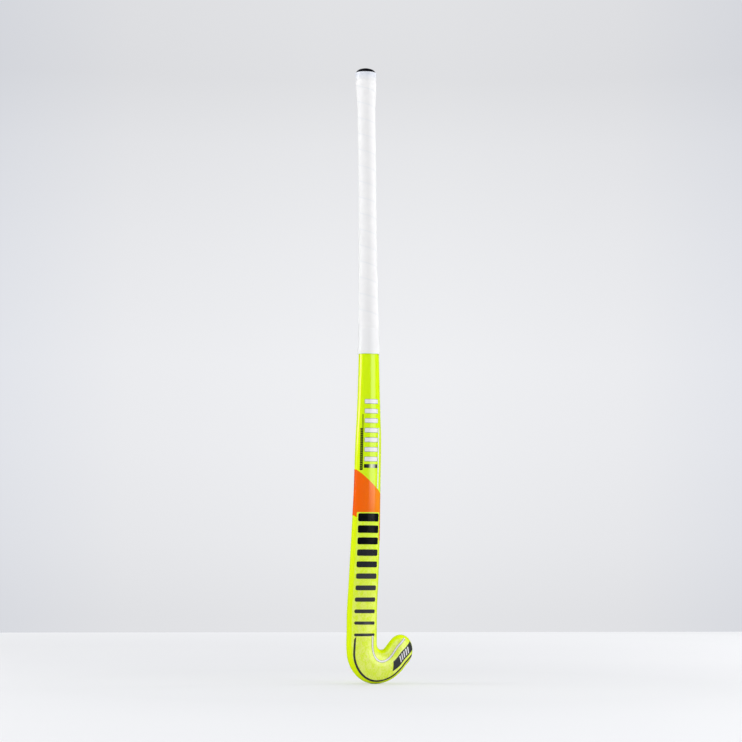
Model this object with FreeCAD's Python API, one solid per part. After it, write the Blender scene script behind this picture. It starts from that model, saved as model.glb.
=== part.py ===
import FreeCAD, Part
import os
from math import ceil, cos, exp, hypot, pi, sin, sqrt
from FreeCAD import Vector

# Composite field hockey stick, millimetres. +Z runs up the shaft from the base of the hook, +X points
# from the heel edge to the toe, and the flat playing face looks towards +Y. The back is rounded.

# Overall
LENGTH = 926.0            # a 36.5 inch stick
AXIS_X = -28.8            # shaft centre line, so that the hook is centred on X = 0
FACE_Y = 19.0             # plane of the playing face on the head
WALL = 2.3                # laminate
GAP = 0.03                # bond line between parts that are glued or shrunk together
FILM = 0.1                # transfer film

# Bow of the shaft away from the playing face: height, offset
BOW = [(95, 0.0), (160, 7.0), (230, 13.6), (310, 18.9), (385, 21.0), (460, 19.7), (560, 16.0),
       (680, 11.4), (800, 6.6), (880, 2.9), (LENGTH, 0.4)]

# Bare shaft: height, width, thickness, half width of the flat, depth of the widest line
SHAFT = [(95, 47.4, 20.0, 18.7, 5.0), (123, 46.8, 20.0, 18.4, 5.0), (168, 46.1, 20.0, 18.0, 5.1),
         (198, 45.2, 20.0, 17.3, 5.3), (243, 43.4, 20.0, 16.0, 5.6), (273, 42.0, 20.0, 15.0, 5.9),
         (303, 41.2, 20.2, 14.4, 6.2), (333, 40.8, 20.3, 13.7, 6.5), (363, 39.9, 20.5, 12.7, 6.9),
         (393, 37.3, 20.8, 11.0, 7.5), (423, 34.8, 21.2, 9.0, 8.2), (453, 33.0, 21.6, 7.6, 9.0),
         (494, 30.8, 22.0, 6.5, 9.8), (536, 27.2, 21.6, 5.4, 10.2), (596, 25.2, 21.0, 4.2, 10.3),
         (660, 23.6, 20.6, 3.4, 10.3), (740, 23.5, 20.5, 3.0, 10.2), (LENGTH, 23.5, 20.5, 3.0, 10.2)]

# Hook, measured from the shaft centre line: quarter ellipse at the heel, then an arc under the hook,
# and the small arc of the crook inside
HEAD_TOP = 95.0
HEEL_C, HEEL_A = (21.6, 50.9), 45.3
SOLE_R = 56.1
CROOK_C, CROOK_R = (31.7, 58.3), 7.9
BEND_END = 132.5          # degrees turned through, from straight down
TIP_HEEL, TIP_CROOK = (72.7, 28.8), (49.8, 67.4)   # the two ends of the last straight section
TIP_DIR, TIP_R = (0.737, 0.676), 22.5
EDGE = 5.0                # rounding beside the flat
THICK = 20.0

# Handle
TUBE_TOP = 916.5
GRIP_FROM, GRIP_TO = 490.5, 919.0
PITCH = 24.3              # of the spiral
TAPE_TO = 528.5
COLLAR_FROM = 907.5
SKIRT_FROM = 868.0
CORE_TOP = 150.0
WEB = 0.9                 # wall of the inner tubes
PLUG_FROM = 891.0
DOME_STEPS, DOME_TURN = 8, 0.47 * pi      # the dome ends just short of its pole in a small flat
SKIRT = [(SKIRT_FROM, 0.55), (882, 1.35), (896, 2.05), (909, 2.6), (GRIP_TO, 2.95)]
UNDER = [(GRIP_FROM, 0.16), (860, 0.16), (SKIRT_FROM, 0.6), (882, 1.4), (896, 2.1), (909, 2.65),
         (GRIP_TO, 3.0)]
CUSHION = [(GRIP_FROM, 1.25), (TAPE_TO, 1.3), (TAPE_TO + 6, 1.6), (899, 1.6), (909, 0.95),
           (GRIP_TO, 0.85)]
SEAM_AT = 515.7
GROOVE = 0.45

# Films on the back
SLANT = 0.9
BAND = (230.7, 299.8)
BARS = 11                 # of the big motif, thinner from one to the next down the shaft
BAR_TOP, BAR_PITCH, BAR_HALF = 252.9, 17.78, 16.3
BAR_THICK, BAR_LESS = 12.0, 0.8
RELIEF = 1.8              # margin left free between the band and the top bar
MARKS = 7
MARK_SPAN, MARK_FROM, MARK_PITCH, MARK_THICK = (-10.6, 10.8), 329.7, 14.28, 7.2
SHORT_BAR = (320.2, 325.8)
THIN_SPAN, THIN_LINE = (-13.1, -12.5), (317.0, 400.0)
DASH_SPAN, DASHES, DASH_PITCH, DASH_LONG = (-15.4, -13.5), 6, 10.6, 8.4
SIDE_LINE_SPAN, SIDE_LINE = (11.6, 13.4), (290.0, 380.0)
OUTLINE_INSETS = [(-12, 6.6), (16, 6.3), (46, 4.4), (76, 6.8), (101, 9.0)]
OUTLINE_WIDE, OUTLINE = 2.7, (-12.0, 101.0)
CROOK_INSET, CROOK_MORE, CROOK_WIDE, CROOK_LINE = 11.0, 6.7, 3.3, (-14.0, 104.0)
CROOK_MIDDLE, CROOK_REACH = 49.0, 22.0    # where along the hook the line keeps further in, and how far
PANEL_SPAN, PANEL_FROM, PANEL_LESS, PANEL_END = (-10.6, 1.8), 27.5, 5.0, 0.88
ROOT2 = sqrt(0.5)


def curve(table, z, col):
    """Smooth value of a table's column at height z."""
    z = min(max(z, table[0][0]), table[-1][0])
    k = max(i for i in range(len(table) - 1) if table[i][0] <= z)

    def slope(i):
        if i in (0, len(table) - 1):
            return 0.0
        a = (table[i][col] - table[i - 1][col]) / (table[i][0] - table[i - 1][0])
        b = (table[i + 1][col] - table[i][col]) / (table[i + 1][0] - table[i][0])
        return 0.0 if a * b <= 0 else 2 * a * b / (a + b)

    span = table[k + 1][0] - table[k][0]
    t = (z - table[k][0]) / span
    return ((1 + 2 * t) * (1 - t) ** 2 * table[k][col] + t * t * (3 - 2 * t) * table[k + 1][col]
            + span * t * (1 - t) * ((1 - t) * slope(k) - t * slope(k + 1)))


class Station:
    """A cross-section between the heel-side edge point and the crook-side edge point."""

    def __init__(self, heel, crook, thick, flat, depth, face_y, along):
        self.c = ((heel[0] + crook[0]) / 2 + AXIS_X, (heel[1] + crook[1]) / 2)
        self.a = hypot(crook[0] - heel[0], crook[1] - heel[1]) / 2
        self.n = ((crook[0] - heel[0]) / 2 / self.a, (crook[1] - heel[1]) / 2 / self.a)
        self.thick, self.flat, self.depth = thick, flat, depth
        self.face_y, self.along = face_y, along

    def at(self, x, y):
        return Vector(self.c[0] + x * self.n[0], self.face_y + y, self.c[1] + x * self.n[1])

    def strips(self, h):
        """Poles and weights of the section's strips, grown outwards by h: the flat, then from the
        crook side round the back to the heel side."""
        a, flat = self.a + h, self.flat
        side, back = -self.depth, -self.thick - h
        quarter = [1, ROOT2, 1]
        return [([(-flat, h), (flat, h)], [1, 1]),
                ([(flat, h), (a, h), (a, side)], quarter),
                ([(a, side), (a, back), (0, back)], quarter),
                ([(0, back), (-a, back), (-a, side)], quarter),
                ([(-a, side), (-a, h), (-flat, h)], quarter)]


def shaft_station(z):
    half = curve(SHAFT, z, 1) / 2
    size = [curve(SHAFT, z, col) for col in (2, 3, 4)]
    return Station((-half, z), (half, z), *size, FACE_Y - curve(BOW, z, 1), z)


def head_stations():
    ends = [(TIP_HEEL, TIP_CROOK)]
    steps = 12
    for i in range(steps + 1):
        t = pi + BEND_END * pi / 180 * (1 - i / steps)
        low = SOLE_R if t > 1.5 * pi else HEEL_C[1]
        wide = SOLE_R if t > 1.5 * pi else HEEL_A
        ends.append(((HEEL_C[0] + wide * cos(t), low + low * sin(t)),
                     (CROOK_C[0] + CROOK_R * cos(t), CROOK_C[1] + CROOK_R * sin(t))))
    half = SHAFT[0][1] / 2
    ends += [((-half, z), (half, z)) for z in (76.0, HEAD_TOP)]
    found, along = [], 0.0
    for heel, crook in ends:
        width = hypot(crook[0] - heel[0], crook[1] - heel[1]) / 2
        s = Station(heel, crook, THICK, width - EDGE, EDGE, FACE_Y, 0)
        if found:
            along += hypot(s.c[0] - found[-1].c[0], s.c[1] - found[-1].c[1])
        s.along = along
        found.append(s)
    return found


HEAD = head_stations()


def column(points, along, start=None, end=None, loop=False):
    """Poles of a smooth cubic spline through points. start and end give its directions there, and
    loop joins them smoothly."""
    steps = [b - a for a, b in zip(along, along[1:])]
    rate = [(q - p) / d for p, q, d in zip(points, points[1:], steps)]
    speed = [rate[0] if start is None else start * (rate[0].Length / start.Length)]
    for i in range(1, len(steps)):
        speed.append((rate[i] * steps[i - 1] + rate[i - 1] * steps[i]) / (steps[i - 1] + steps[i]))
    speed.append(rate[-1] if end is None else end * (rate[-1].Length / end.Length))
    if loop:
        speed[0] = (rate[0] * steps[-1] + rate[-1] * steps[0]) / (steps[0] + steps[-1])
        speed[-1] = speed[0]
    poles = [points[0]]
    for i, d in enumerate(steps):
        poles += [points[i] + speed[i] * (d / 3), points[i + 1] - speed[i + 1] * (d / 3)]
    return poles + [points[-1]]


def net(grid, us, vs, loop=False):
    """Poles of a smooth surface through a grid of points, one row for each of us."""
    rows = [column(row, vs) for row in grid]
    across = [column([row[k] for row in rows], us, loop=loop) for k in range(len(rows[0]))]
    return [[line[i] for line in across] for i in range(len(across[0]))]


def surface(poles, us, vs, degree=3):
    """The surface with these poles, cubic along vs and of the given degree along us."""
    found = Part.BSplineSurface()
    inner = [2] * (len(us) - 2) if degree == 3 else []
    found.buildFromPolesMultsKnots(
        poles, [degree + 1] + inner + [degree + 1], [4] + [2] * (len(vs) - 2) + [4], us, vs,
        False, False, degree, 3)
    return found


def skin(stations, growth, strip, start=Vector(0, 0, 1), end=Vector(0, 0, 1)):
    """One strip of the surface through the stations. growth gives the offset at each of them."""
    rows = [s.strips(growth(s))[strip] for s in stations]
    weights = rows[0][1]
    along = [s.along for s in stations]
    poles = []
    for k in range(len(weights)):
        points = [s.at(*row[0][k]) for s, row in zip(stations, rows)]
        poles.append(column(points, along, start, end))
    found = Part.BSplineSurface()
    degree = len(weights) - 1
    inner = [2] * (len(along) - 2)
    found.buildFromPolesMultsKnots(
        poles, [degree + 1] * 2, [4] + inner + [4], [0, 1], along, False, False, degree, 3,
        [[w] * len(poles[0]) for w in weights])
    return found


def shaft_between(z0, z1, step=22.0):
    inside = [r[0] for r in SHAFT if z0 + 6 < r[0] < z1 - 6]
    levels = sorted({z0, z1} | set(inside))
    out = [levels[0]]
    for z in levels[1:]:
        parts = ceil((z - out[-1]) / step)
        low = out[-1]
        out += [low + (z - low) * (i + 1) / parts for i in range(parts)]
    return [shaft_station(z) for z in out]


def lean(z):
    """Direction of the shaft at height z."""
    d = 0.5
    return Vector(0, (curve(BOW, z - d, 1) - curve(BOW, z + d, 1)) / (2 * d), 1)


def shaft_faces(z0, z1, growth):
    stations = shaft_between(z0, z1)
    return [skin(stations, growth, k, lean(z0), lean(z1)).toShape() for k in range(5)]


def tip_faces(h):
    """The rounded toe: the last section turned through half a circle, in two quarters."""
    s = HEAD[0]
    nx, nz = s.n
    dx, dz = (c * TIP_R / s.a for c in TIP_DIR)
    faces, rims = [], []
    for turn in ([(nx, nz), (nx + dx, nz + dz), (dx, dz)],
                 [(dx, dz), (dx - nx, dz - nz), (-nx, -nz)]):
        for poles, weights in s.strips(h)[1:3]:
            quarter = Part.BSplineSurface()
            quarter.buildFromPolesMultsKnots(
                [[Vector(s.c[0] + x * u, s.face_y + y, s.c[1] + x * v) for u, v in turn]
                 for x, y in poles],
                [3, 3], [3, 3], [0, 1], [0, 1], False, False, 2, 2,
                [[w * t for t in (1, ROOT2, 1)] for w in weights])
            faces.append(quarter.toShape())
        rims.append(faces[-2].Surface.uIso(0).toShape())
    chord = Part.makeLine(s.at(-s.flat, h), s.at(s.flat, h))
    return faces + [Part.Face(Part.Wire(rims + [chord]))]


def head_faces(h):
    start = Vector(-TIP_DIR[0], 0, -TIP_DIR[1])
    faces = [skin(HEAD, lambda s: h, k, start, Vector(0, 0, 1)).toShape() for k in range(5)]
    flat = Part.Face(Part.Wire(Part.sortEdges(faces[0].Edges)[0]))
    return [flat] + faces[1:] + tip_faces(h)


def end_wire(station, h):
    edges = []
    for poles, weights in station.strips(h):
        c = Part.BSplineCurve()
        degree = len(weights) - 1
        c.buildFromPolesMultsKnots([station.at(*p) for p in poles], [degree + 1] * 2, [0, 1], False,
                                   degree, weights)
        edges.append(c.toShape())
    return Part.Wire(edges)


def solid(faces):
    """A closed solid from faces that meet edge to edge."""
    shell = Part.makeShell(faces)
    shell.sewShape(1e-4)
    body = Part.makeSolid(shell if shell.ShapeType == "Shell" else shell.Shells[0])
    if body.Volume < 0:
        body.reverse()
    return body


def between(outer, inner):
    """The flat face between two wires."""
    return Part.makeFace([outer, inner], "Part::FaceMakerBullseye")


def ring(z, outer, inner):
    s = shaft_station(z)
    return between(end_wire(s, outer(s)), end_wire(s, inner(s)))


def sleeve(z0, z1, outer, inner):
    """A tube round the shaft from z0 to z1 between two offsets."""
    return solid(shaft_faces(z0, z1, outer) + shaft_faces(z0, z1, inner)
                 + [ring(z, outer, inner) for z in (z0, z1)])


def flat_offset(h):
    return lambda s: h


def bar(z0, z1, h):
    """The filled shaft from z0 to z1."""
    ends = [Part.Face(end_wire(shaft_station(z), h)) for z in (z0, z1)]
    return solid(shaft_faces(z0, z1, flat_offset(h)) + ends)


def stick_faces(top, h):
    return head_faces(h) + shaft_faces(HEAD_TOP, top, flat_offset(h))


def outer_laminate():
    faces = stick_faces(TUBE_TOP, 0.0) + stick_faces(TUBE_TOP, -WALL)
    return solid(faces + [ring(TUBE_TOP, flat_offset(0.0), flat_offset(-WALL))])


def head_core():
    h = -WALL - GAP
    top = Part.Face(end_wire(shaft_station(CORE_TOP), h))
    return solid(stick_faces(CORE_TOP, h) + [top])


def inner_tube(side):
    """One of the two tubes that fill the shaft side by side; their flat walls make its web."""
    low, high = CORE_TOP + 0.5, PLUG_FROM - 0.5

    def half(body, gap):
        b = Part.makeBox(60, 120, LENGTH, Vector(0, -60, 0))
        b.translate(Vector(AXIS_X + (gap if side > 0 else -gap - 60), 0, 0))
        return body.common(b)

    whole = half(bar(low, high, -WALL - GAP), GAP)
    hollow = half(bar(low - 1, high + 1, -WALL - GAP - WEB), GAP + WEB)
    return whole.cut(hollow)


def skirt(s):
    """Thickness of the cap's skirt."""
    return curve(SKIRT, s.along, 1)


def butt_cap():
    rim = shaft_station(GRIP_TO)
    a, grown = rim.a + skirt(rim), rim.thick + 2 * skirt(rim)
    middle = rim.face_y - rim.thick / 2
    domes = []
    for i in range(DOME_STEPS + 1):
        k = cos(i / DOME_STEPS * DOME_TURN)
        z = GRIP_TO + (LENGTH - GRIP_TO) * sqrt(1 - k * k) / sin(DOME_TURN)
        d = Station((-a * k, z), (a * k, z), grown * k, rim.flat * k,
                    (rim.depth + skirt(rim)) * k, middle + grown * k / 2, z)
        domes.append(d)
    faces = shaft_faces(SKIRT_FROM, GRIP_TO, skirt)
    faces += [skin(domes, flat_offset(0.0), k, Vector(0, 0, 1), None).toShape() for k in range(5)]
    faces.append(Part.Face(end_wire(domes[-1], 0.0)))
    faces.append(ring(SKIRT_FROM, skirt, flat_offset(GAP)))
    faces += shaft_faces(SKIRT_FROM, TUBE_TOP + GAP, flat_offset(GAP))
    faces.append(Part.Face(end_wire(shaft_station(TUBE_TOP + GAP), GAP)))
    return solid(faces)


def under_grip(s):
    """Offset of the surface that the grip is wound on, with its bond line."""
    return curve(UNDER, s.along, 1)


def grip_growth(s):
    """Offset of the grip's smooth surface; the finishing tape presses its end down."""
    return under_grip(s) + curve(CUSHION, s.along, 1)


def around(s, h):
    """Points round a section, from the middle of the flat over the toe side."""
    a = s.a + h
    corner = [(s.flat + (a - s.flat) * sin(k), -s.depth + (s.depth + h) * cos(k))
              for k in (i * pi / 10 for i in range(6))]
    back = [(a * cos(k), -s.depth - (s.thick - s.depth + h) * sin(k))
            for k in (i * pi / 10 for i in range(1, 10))]
    return [(0.0, h)] + corner + back + [(-x, y) for x, y in corner[::-1]] + [(0.0, h)]


def grip_wrap():
    """One long cushioned tape wound up the handle. Its turns meet in a soft spiral groove."""
    rows = int((GRIP_TO - GRIP_FROM) / PITCH * 8)
    levels = [GRIP_FROM + (GRIP_TO - GRIP_FROM) * i / rows for i in range(rows + 1)]
    turn = [0.0]
    start = shaft_station(GRIP_FROM)
    base = around(start, grip_growth(start))
    for p, q in zip(base, base[1:]):
        turn.append(turn[-1] + hypot(q[0] - p[0], q[1] - p[1]))
    turn = [t / turn[-1] for t in turn]
    grid = [[] for t in turn]
    for z in levels:
        s = shaft_station(z)
        fade = min(1.0, max(0.0, (z - TAPE_TO) / 6), max(0.0, (COLLAR_FROM - z) / 6))
        for k, t in enumerate(turn):
            seam = (0.5 + 0.5 * cos(2 * pi * ((z - SEAM_AT) / PITCH - t))) ** 4
            grid[k].append(s.at(*around(s, grip_growth(s) - GROOVE * fade * seam)[k]))
    wound = surface(net(grid, turn, levels, loop=True), turn, levels)
    faces, ends = [], {GRIP_FROM: [], GRIP_TO: []}
    middle = turn[len(turn) // 2]
    for u0, u1 in ((0.0, middle), (middle, 1.0)):
        part = wound.copy()
        part.segment(u0, u1, GRIP_FROM, GRIP_TO)
        faces.append(part.toShape())
        for z in ends:
            ends[z].append(part.vIso(z).toShape())
    faces += shaft_faces(GRIP_FROM, GRIP_TO, under_grip)
    for z, edges in ends.items():
        s = shaft_station(z)
        faces.append(between(Part.Wire(edges), end_wire(s, under_grip(s))))
    return solid(faces)


class Back:
    """The rounded back grown by h, where the films lie. x runs from the heel or sole edge (-1) to the
    crook edge (+1)."""

    def __init__(self, h):
        self.h = h
        start = Vector(-TIP_DIR[0], 0, -TIP_DIR[1])
        self.head = [skin(HEAD, flat_offset(h), k, start, Vector(0, 0, 1)) for k in (2, 3)]
        levels = shaft_between(HEAD_TOP, TUBE_TOP)
        self.shaft = [skin(levels, flat_offset(h), k, lean(HEAD_TOP), lean(TUBE_TOP)) for k in (2, 3)]

    def at(self, x, along, strips):
        t = sqrt((1 - abs(x)) / (1 + abs(x)))
        u = t / (t + ROOT2 * (1 - t))
        return strips[0].value(u, along) if x >= 0 else strips[1].value(1 - u, along)

    def on_shaft(self, x, z):
        if z < HEAD_TOP:
            return self.at(x, HEAD[-1].along - HEAD_TOP + z, self.head)
        return self.at(x, z, self.shaft)

    def on_head(self, x, along):
        """Negative along is past the last straight section, on the rounded toe."""
        if along >= 0:
            return self.at(x, along, self.head)
        s = HEAD[0]
        a = s.a + self.h
        r = hypot(x * a, along)
        y = -s.depth - (s.thick - s.depth + self.h) * sqrt(max(0.0, 1 - (r / a) ** 2))
        d = -along * TIP_R / s.a
        return Vector(s.c[0] + x * a * s.n[0] + d * TIP_DIR[0], s.face_y + y,
                      s.c[1] + x * a * s.n[1] + d * TIP_DIR[1])


LOW, HIGH = Back(GAP), Back(GAP + FILM)


def film(place, across, along):
    """A thin patch on the back. place(back, p, q) gives its points for p and q from 0 to 1."""
    us = [i / across for i in range(across + 1)]
    vs = [j / along for j in range(along + 1)]
    low, high = (net([[place(back, u, v) for v in vs] for u in us], us, vs) for back in (LOW, HIGH))
    faces = [surface(low, us, vs), surface(high, us, vs)]
    for k in (0, -1):
        faces.append(surface([low[k], high[k]], [0, 1], vs, 1))
        faces.append(surface([[row[k] for row in low], [row[k] for row in high]], [0, 1], us, 1))
    return solid([f.toShape() for f in faces])


def block(x0, x1, z0, z1, across=8, along=4):
    """A rectangle on the shaft. x0 and x1 are millimetres from its centre line."""

    def place(back, p, q):
        z = z0 + (z1 - z0) * q
        return back.on_shaft((x0 + (x1 - x0) * p) / (curve(SHAFT, z, 1) / 2), z)

    return film(place, across, along)


def bar_of_motif(k):
    top = BAR_TOP - BAR_PITCH * k
    return block(-BAR_HALF, BAR_HALF, top - BAR_THICK + BAR_LESS * k, top)


def mark(k):
    low = MARK_FROM + MARK_PITCH * k
    return block(*MARK_SPAN, low, low + MARK_THICK)


def dash(k):
    low = THIN_LINE[0] + DASH_PITCH * k
    return block(*DASH_SPAN, low, low + DASH_LONG, 2)


def band():
    """The wide colour band, right round the shaft, with room left on the back round the top bar."""
    far = 40.0
    corners = [Vector(AXIS_X + x, -60, z - SLANT * x) for x, z in
               ((-far, BAND[0]), (far, BAND[0]), (far, BAND[1]), (-far, BAND[1]), (-far, BAND[0]))]
    slab = Part.Face(Part.makePolygon(corners)).extrude(Vector(0, 120, 0))
    half, top = BAR_HALF + RELIEF, BAR_TOP + RELIEF
    room = Part.makeBox(2 * half, 60, 2 * far, Vector(AXIS_X - half, -60, top - 2 * far))
    whole = sleeve(BAND[0] - far / 2, BAND[1] + far / 2, flat_offset(GAP + FILM), flat_offset(GAP))
    return whole.common(slab).cut(room)


def outline_inset(along):
    return curve(OUTLINE_INSETS, along, 1)


def stripe(inset, width, first, last, side, steps=40):
    """A line along the hook at a distance from its edge, from one place along it to another."""

    def place(back, p, q):
        along = first + (last - first) * q
        a = head_width(along)
        x = side * (1 - (inset(along) + width * (p - 0.5)) / a)
        return back.on_head(x, along)

    return film(place, 2, steps)


def head_width(along):
    k = max(i for i in range(len(HEAD) - 1) if HEAD[i].along <= max(along, 0.0))
    t = (max(along, 0.0) - HEAD[k].along) / (HEAD[k + 1].along - HEAD[k].along)
    return HEAD[k].a + (HEAD[k + 1].a - HEAD[k].a) * t


def crook_inset(along):
    """The inner line keeps further from the edge where it rounds the crook."""
    return CROOK_INSET + CROOK_MORE * exp(-((along - CROOK_MIDDLE) / CROOK_REACH) ** 2)


def toe_panel():
    a = HEAD[0].a

    def place(back, p, q):
        x = PANEL_SPAN[0] + (PANEL_SPAN[1] - PANEL_SPAN[0]) * p
        first = PANEL_FROM - PANEL_LESS * p
        last = -sqrt((PANEL_END * a) ** 2 - x * x)
        return back.on_head(x / a, first + (last - first) * q)

    return film(place, 5, 24)


def export(name, shape):
    shape.exportStep("parts/" + name + ".step")
    b = shape.optimalBoundingBox(True, False)
    print("%-20s solids %d valid %s volume %.1f  x %.2f %.2f  y %.2f %.2f  z %.2f %.2f" % (
        name, len(shape.Solids), shape.isValid(), shape.Volume, b.XMin, b.XMax, b.YMin, b.YMax,
        b.ZMin, b.ZMax))


os.makedirs("parts", exist_ok=True)
export("outer_laminate", outer_laminate())
export("head_core", head_core())
export("inner_tube_heel", inner_tube(-1))
export("inner_tube_toe", inner_tube(1))
export("handle_plug", bar(PLUG_FROM, TUBE_TOP - 0.5, -WALL - GAP))
export("butt_cap", butt_cap())
export("grip_underlay", sleeve(GRIP_FROM, SKIRT_FROM - 8, flat_offset(GAP + 0.1), flat_offset(GAP)))
export("grip_wrap", grip_wrap())
export("grip_collar", sleeve(COLLAR_FROM, GRIP_TO, lambda s: grip_growth(s) + GAP + 0.4,
                             lambda s: grip_growth(s) + GAP))
export("finishing_tape", sleeve(GRIP_FROM, TAPE_TO, lambda s: grip_growth(s) + GAP + 0.25,
                                lambda s: grip_growth(s) + GAP))
export("band_film", band())
export("motif_film", Part.makeCompound([bar_of_motif(k) for k in range(BARS)]))
export("marks_film", Part.makeCompound([mark(k) for k in range(MARKS)]))
export("detail_film", Part.makeCompound([dash(k) for k in range(DASHES)]
                                        + [block(*THIN_SPAN, *THIN_LINE, 2, 16),
                                           block(*MARK_SPAN, *SHORT_BAR)]))
export("side_pinstripe_film", block(*SIDE_LINE_SPAN, *SIDE_LINE, 2, 16))
export("outline_film", stripe(outline_inset, OUTLINE_WIDE, *OUTLINE, -1))
export("crook_pinstripe_film", stripe(crook_inset, CROOK_WIDE, *CROOK_LINE, 1))
export("toe_panel_film", toe_panel())
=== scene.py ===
from math import acos, ceil, cos, exp, floor, hypot, pi, radians, sin, sqrt, tan

import bmesh
import bpy
from mathutils import Matrix, Vector, noise


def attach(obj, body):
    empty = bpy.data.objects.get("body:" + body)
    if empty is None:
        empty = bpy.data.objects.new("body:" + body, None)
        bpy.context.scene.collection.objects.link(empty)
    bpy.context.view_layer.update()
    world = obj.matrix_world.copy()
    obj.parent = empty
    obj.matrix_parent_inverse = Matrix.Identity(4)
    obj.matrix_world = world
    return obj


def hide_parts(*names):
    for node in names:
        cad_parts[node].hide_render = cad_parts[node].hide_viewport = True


# Field hockey stick, dressed around its CAD frame. Lengths are millimetres in the part's frame, and
# MM turns them into metres when a mesh is made. A place up the stick is a height z above HEAD_TOP,
# and below it the distance travelled along the middle of the hook, counted on downwards.
MM = 0.001

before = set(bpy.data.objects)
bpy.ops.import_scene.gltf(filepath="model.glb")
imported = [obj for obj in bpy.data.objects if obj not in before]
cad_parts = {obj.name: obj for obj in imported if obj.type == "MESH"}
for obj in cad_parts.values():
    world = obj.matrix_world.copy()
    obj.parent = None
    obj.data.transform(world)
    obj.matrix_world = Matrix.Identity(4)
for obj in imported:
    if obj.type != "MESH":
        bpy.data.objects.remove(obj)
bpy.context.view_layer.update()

# ---- sizes of the stick
AXIS_X = -28.8            # shaft centre line
FACE_Y = 19.0             # plane of the playing face on the head
WALL = 2.3                # laminate
GAP = 0.03                # bond line between parts that are glued or shrunk together
FILM = 0.1                # transfer film
LENGTH = 926.0

# Bow of the shaft away from the playing face: height, offset
BOW = [(95, 0.0), (160, 7.0), (230, 13.6), (310, 18.9), (385, 21.0), (460, 19.7), (560, 16.0),
       (680, 11.4), (800, 6.6), (880, 2.9), (LENGTH, 0.4)]

# Bare shaft: height, width, thickness, half width of the flat, depth of the widest line
SHAFT = [(95, 47.4, 20.0, 18.7, 5.0), (123, 46.8, 20.0, 18.4, 5.0), (168, 46.1, 20.0, 18.0, 5.1),
         (198, 45.2, 20.0, 17.3, 5.3), (243, 43.4, 20.0, 16.0, 5.6), (273, 42.0, 20.0, 15.0, 5.9),
         (303, 41.2, 20.2, 14.4, 6.2), (333, 40.8, 20.3, 13.7, 6.5), (363, 39.9, 20.5, 12.7, 6.9),
         (393, 37.3, 20.8, 11.0, 7.5), (423, 34.8, 21.2, 9.0, 8.2), (453, 33.0, 21.6, 7.6, 9.0),
         (494, 30.8, 22.0, 6.5, 9.8), (536, 27.2, 21.6, 5.4, 10.2), (596, 25.2, 21.0, 4.2, 10.3),
         (660, 23.6, 20.6, 3.4, 10.3), (740, 23.5, 20.5, 3.0, 10.2), (LENGTH, 23.5, 20.5, 3.0, 10.2)]

# Hook, measured from the shaft centre line: quarter ellipse at the heel, then an arc under the hook,
# and the small arc of the crook inside
HEAD_TOP = 95.0
HEEL_C, HEEL_A = (21.6, 50.9), 45.3
SOLE_R = 56.1
CROOK_C, CROOK_R = (31.7, 58.3), 7.9
BEND_END, BEND_STEPS = 132.5, 12                   # degrees turned through, from straight down
TIP_HEEL, TIP_CROOK = (72.7, 28.8), (49.8, 67.4)   # the two ends of the last straight section
TIP_DIR, TIP_R = (0.737, 0.676), 22.5
EDGE = 5.0                # rounding beside the flat
THICK = 20.0

# ---- handle
TUBE_TOP = 916.5
GRIP_FROM, GRIP_TO = 490.5, 919.0
PITCH, SEAM_AT = 24.3, 515.7    # of the grip's spiral
TAPE_TO, COLLAR_FROM, SKIRT_FROM = 528.5, 907.5, 868.0

# How far the cap's skirt and the grip's underside stand off the stick, and the grip's thickness
SKIRT = [(SKIRT_FROM, 0.55), (882, 1.35), (896, 2.05), (909, 2.6), (GRIP_TO, 2.95)]
UNDER = [(GRIP_FROM, 0.16), (860, 0.16), (SKIRT_FROM, 0.6), (882, 1.4), (896, 2.1), (909, 2.65),
         (GRIP_TO, 3.0)]
CUSHION = [(GRIP_FROM, 1.25), (TAPE_TO, 1.3), (TAPE_TO + 6, 1.6), (899, 1.6), (909, 0.95),
           (GRIP_TO, 0.85)]

# ---- films on the back, in millimetres from the centre line and along the stick
SLANT = 0.9
BAND = (230.7, 299.8)
BARS, BAR_TOP, BAR_PITCH, BAR_HALF = 11, 252.9, 17.78, 16.3
BAR_THICK, BAR_LESS = 12.0, 0.8
SHADE_DARKENED_BARS, HALF_SHADE_BARS = 3, 2    # the highest bars get darker copies of the same black ink: painted shade
RELIEF = 1.8                  # margin left free between the band and the top bar
MARKS, MARK_SPAN, MARK_FROM, MARK_PITCH, MARK_THICK = 7, (-10.6, 10.8), 329.7, 14.28, 7.2
SHORT_BAR = (320.2, 325.8)
THIN_SPAN, THIN_LINE = (-13.25, -12.35), (317.0, 400.0)
TICK_SPAN, TICKS, TICK_PITCH, TICK_TALL = (-16.0, -13.4), 19, 3.3, 2.7
SIDE_LINE_SPAN, SIDE_LINE = (11.6, 13.4), (290.0, 380.0)

# Lines on the hook, by their place along it and how far they keep from its edge
OUTLINE_INSETS = [(-12, 6.6), (16, 6.3), (46, 4.4), (76, 6.8), (101, 9.0)]
OUTLINE_WIDE, OUTLINE = 2.7, (-12.0, 101.0)
CROOK_INSET, CROOK_MORE, CROOK_WIDE, CROOK_LINE = 11.0, 6.7, 3.3, (-14.0, 104.0)
CROOK_MIDDLE, CROOK_REACH = 49.0, 22.0
PANEL_SPAN, PANEL_FROM, PANEL_LESS, PANEL_END = (-10.6, 1.8), 27.5, 5.0, 0.88
TOE_MARKS, TOE_MARK_FROM, TOE_MARK_PITCH, TOE_MARK_THICK, TOE_MARK_LEAN = 5, 11.0, 4.6, 2.4, 0.35


# ---------------------------------------------------------------- the stick's shape

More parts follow.
